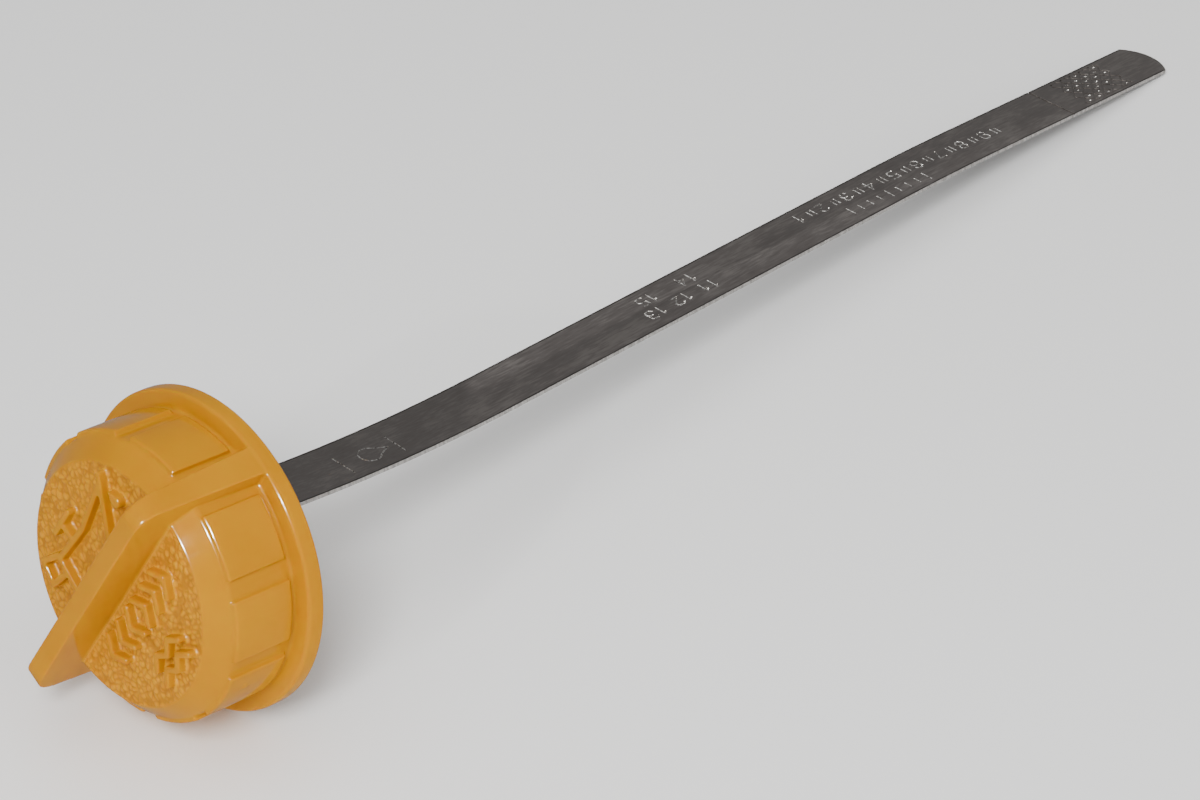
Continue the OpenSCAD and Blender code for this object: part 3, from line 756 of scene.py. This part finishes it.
def bladeSurface(mesh):
    # returns a function that gives the point and the normal of the upper face at a place on the blade
    tree = BVHTree.FromPolygons([v.co for v in mesh.vertices], [p.vertices for p in mesh.polygons])
    above = 100.0  # mm

    def spot(s, v):
        start = capPlace @ Vector((above * mm, v * mm, -s * mm))
        return tree.ray_cast(start, -capUp)[:2]
    return spot


def addStrokeCutter(solids, spot, start, end, b):
    # a bar along the stroke with sloping sides, from just over the face down to the stroke's floor
    (p, upP), (q, upQ) = spot(*start), spot(*end)
    run = (q - p).normalized()
    up = (upP + upQ).normalized()
    side = up.cross(run).normalized()
    wide, narrow = b["strokeTop"] / 2 * mm, b["strokeFloor"] / 2 * mm
    lift, sink = b["strokeLift"] * mm, b["strokeDepth"] * mm
    points = []
    for at in (p - run * wide * b["strokeOver"], q + run * wide * b["strokeOver"]):
        points += [at + side * wide + up * lift, at - side * wide + up * lift,
                   at - side * narrow - up * sink, at + side * narrow - up * sink]
    solids.add(points, [(0, 1, 2, 3), (7, 6, 5, 4), (0, 4, 5, 1), (1, 5, 6, 2), (2, 6, 7, 3), (3, 7, 4, 0)])


def finishOf(polygon, toCap, b):
    # small sloping faces of the level line and the hatch take the painted groove shade; the strip's sides
    # and tip are sheared
    place = toCap @ polygon.center / mm
    marked = b["grooves"][0] < -place.z < b["grooves"][1] and abs(place.y) < b["grooveReach"]
    area = polygon.area / mm ** 2
    sloping = b["grooveSlope"][0] < polygon.normal.z < b["grooveSlope"][1] or area < b["smallFace"]
    if marked and sloping and area < b["largeFace"]:
        return grooveFinish
    if abs(polygon.normal.y) > b["edgeTurn"] or polygon.normal.x > b["tipTurn"]:
        return edgeFinish
    return faceFinish


def makeBlade(b):
    mesh = frame["nodes"]["blade"].data.copy()
    mesh.materials.clear()
    cleanMesh(mesh, b["weld"] * mm, b["flatAngle"])
    finishes = [rolledBladeSteel(b), shearedEdgeSteel(b), stampedSteel(b), paintedShadeGrooveSteel(b)]
    blade = newObject("stamped_blade", mesh)
    spot = bladeSurface(mesh)
    solids = SolidList()
    for chain in markChains(b):
        for start, end in zip(chain, chain[1:]):
            addStrokeCutter(solids, spot, start, end, b)
    cutMesh = solids.asMesh("mark_cutter")
    cleanMesh(cutMesh)
    for finish in finishes:
        mesh.materials.append(finish)
        cutMesh.materials.append(finish)
    toCap = capPlace.inverted()
    for polygon in mesh.polygons:
        polygon.material_index = finishOf(polygon, toCap, b)
    for polygon in cutMesh.polygons:
        polygon.material_index = markFinish
    cutter = newObject("mark_cutter", cutMesh)
    withModifiers(blade, ("BOOLEAN", {
        "operation": "DIFFERENCE", "object": cutter, "solver": "EXACT", "use_self": True}))
    bpy.data.objects.remove(cutter)
    print("stamped blade", len(blade.data.polygons))
    return blade


blade = makeBlade(bladeDesign)
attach(blade, "root")
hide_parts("blade")
print("blade done")


def finishedPiece(name, solids, material, sharpAngle):
    # a piece made in the cap's millimetres, with edges over the angle left sharp
    mesh = solids.asMesh(name)
    cleanMesh(mesh, weld=1e-5)
    mesh.materials.append(material)
    mesh.polygons.foreach_set("use_smooth", [True] * len(mesh.polygons))
    mesh.set_sharp_from_angle(angle=math.radians(sharpAngle))
    mesh.transform(capPlaceMm)
    return newObject(name, mesh)


ringDesign = {  # mm
    "middleR": 12.32, "r": 1.2, "lineH": 0.05, "lineW": 0.12, "sectionSteps": 72, "turnSteps": 256,
    "sharpAngle": 60, "tones": [(0.35, "#161617"), (0.75, "#2B2B2C")],
    "dust": 0.6667, "dustDepth": 0.05, "dustStrength": 0.15,
}


def sealRubber(look):
    # moulded nitrile rubber: matt black, with dust drawn coarser than it is so that it shows
    material, tree, shader = newMaterial("sealRubber", Roughness=0.6, IOR=1.52)
    place = addNode(tree, "ShaderNodeTexCoord").outputs["Object"]
    dust = addNode(tree, "ShaderNodeTexNoise", {"Scale": 1 / (look["dust"] * mm), "Detail": 4.0},
                   {"Vector": place}).outputs["Fac"]
    colour = addNode(tree, "ShaderNodeValToRGB", links={"Fac": dust}, stops=look["tones"])
    bump = addNode(tree, "ShaderNodeBump", {
        "Strength": look["dustStrength"], "Distance": look["dustDepth"] * mm}, {"Height": dust})
    tree.links.new(colour.outputs["Color"], shader.inputs["Base Color"])
    tree.links.new(bump.outputs["Normal"], shader.inputs["Normal"])
    return material


def makeRing(size, c):
    # round section with the fine line that the mould's two halves leave round it
    profile = []
    for k in range(size["sectionSteps"]):
        a = 2 * math.pi * k / size["sectionSteps"]
        proud = size["lineH"] * max(0.0, 1 - abs(math.sin(a)) * size["r"] / size["lineW"])
        profile.append((size["middleR"] + (size["r"] + proud - size["lineH"]) * math.cos(a),
                        (size["r"] - size["lineH"] / 2) * math.sin(a)))
    solids = SolidList()
    place = Matrix.Translation((0, 0, -c["grooveBack"] - c["grooveL"] / 2))
    solids.add(*revolve(profile, size["turnSteps"]), place)
    return finishedPiece("moulded_ring", solids, sealRubber(size), size["sharpAngle"])


ring = makeRing(ringDesign, capDesign)
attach(ring, "root")
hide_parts("seal_ring")
print("ring done")

pinDesign = {  # mm
    "bevel": 0.2, "turnSteps": 64, "sharpAngle": 25,
    "dimple": [(0.35, 0.0), (0.25, 0.08), (0.0, 0.1)],  # in the outer end: shares of the radius, and depths
    "tones": [(0.3, "#9A9994"), (0.7, "#C6C5C0")], "line": (0.1667, 0.1667, 1.667),
}


def drawnPinSteel(look):
    # bright drawn wire with lines along the pin, drawn coarser than the real ones so that they show
    material, tree, shader = newMaterial("drawnPinSteel", Metallic=1.0, Roughness=0.28)
    place = addNode(tree, "ShaderNodeTexCoord").outputs["Object"]
    drawn = addNode(tree, "ShaderNodeMapping", {"Scale": [1 / (size * mm) for size in look["line"]]},
                    {"Vector": place})
    lines = addNode(tree, "ShaderNodeTexNoise", {"Scale": 1.0, "Detail": 4.0},
                    {"Vector": drawn.outputs["Vector"]})
    colour = addNode(tree, "ShaderNodeValToRGB", links={"Fac": lines.outputs["Fac"]}, stops=look["tones"])
    tree.links.new(colour.outputs["Color"], shader.inputs["Base Color"])
    return material


def makePin(size, c):
    # cut from wire, with both ends bevelled so that it starts easily in its hole
    r, long, bevel = c["pinR"], c["pinTo"] - c["pinFrom"], size["bevel"]
    profile = [(0, 0), (r - bevel, 0), (r - bevel / 3, bevel / 4), (r, bevel)]
    profile += [(r, long - bevel), (r - bevel / 3, long - bevel / 4), (r - bevel, long)]
    profile += [(share * r, long - depth) for share, depth in size["dimple"]]
    solids = SolidList()
    place = pinPlace(c) @ Matrix.Translation((0, 0, c["pinFrom"]))
    solids.add(*revolve(profile, size["turnSteps"]), place)
    return finishedPiece("pressed_pin", solids, drawnPinSteel(size), size["sharpAngle"])


pin = makePin(pinDesign, capDesign)
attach(pin, "root")
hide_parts("blade_pin")
print("pin done")

lighting = {
    "worldLight": 0.3,
    "floor": "#FCFCFB",
    "floorReach": 3.0,
    "aim": (-0.09, 0.0, 0.03),
    # each area light has its place, size and power in watts; the softboxes don't mirror in gloss
    "softboxes": {
        "besideCamera": ((-0.465, -0.34, 0.585), 0.25, 5.4),
        "overhead": ((0.0, 0.0, 1.1), 1.4, 6.0),
        "ahead": ((-1.0, 0.1, 0.45), 1.0, 0.8),
        "aside": ((0.1, -1.0, 0.35), 1.0, 5.0),
    },
    "flash": ((-0.595, -0.135, 0.32), 0.014, 24.0),  # gives the small white glints alone
}


def addLamp(name, lamp, aim, forGloss):
    spot, size, power = lamp
    data = bpy.data.lights.new(name, "AREA")
    data.energy, data.size = power, size
    holder = newObject(name, data)
    holder.location = spot
    holder.rotation_mode = "QUATERNION"
    holder.rotation_quaternion = (Vector(aim) - Vector(spot)).to_track_quat("-Z", "Y")
    holder.visible_glossy, holder.visible_diffuse = forGloss, not forGloss


def makeStage(light):
    world = bpy.data.worlds.new("studio")
    world.use_nodes = True
    background = world.node_tree.nodes["Background"]
    background.inputs["Color"].default_value = (1, 1, 1, 1)
    background.inputs["Strength"].default_value = light["worldLight"]
    scene.world = world
    low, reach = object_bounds()[0][2], light["floorReach"]
    mesh = bpy.data.meshes.new("floor")
    corners = [(-reach, -reach, low), (reach, -reach, low), (reach, reach, low), (-reach, reach, low)]
    mesh.from_pydata(corners, [], [(0, 1, 2, 3)])
    floor = newObject("floor", mesh)
    material, _, _ = newMaterial("paleFloor", Roughness=0.8, Base_Color=linearColour(light["floor"]))
    mesh.materials.append(material)
    floor.visible_glossy = False
    floor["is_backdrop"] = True
    for name, lamp in light["softboxes"].items():
        addLamp(name, lamp, light["aim"], False)
    addLamp("flash", light["flash"], light["aim"], True)


makeStage(lighting)
print("stage lit")
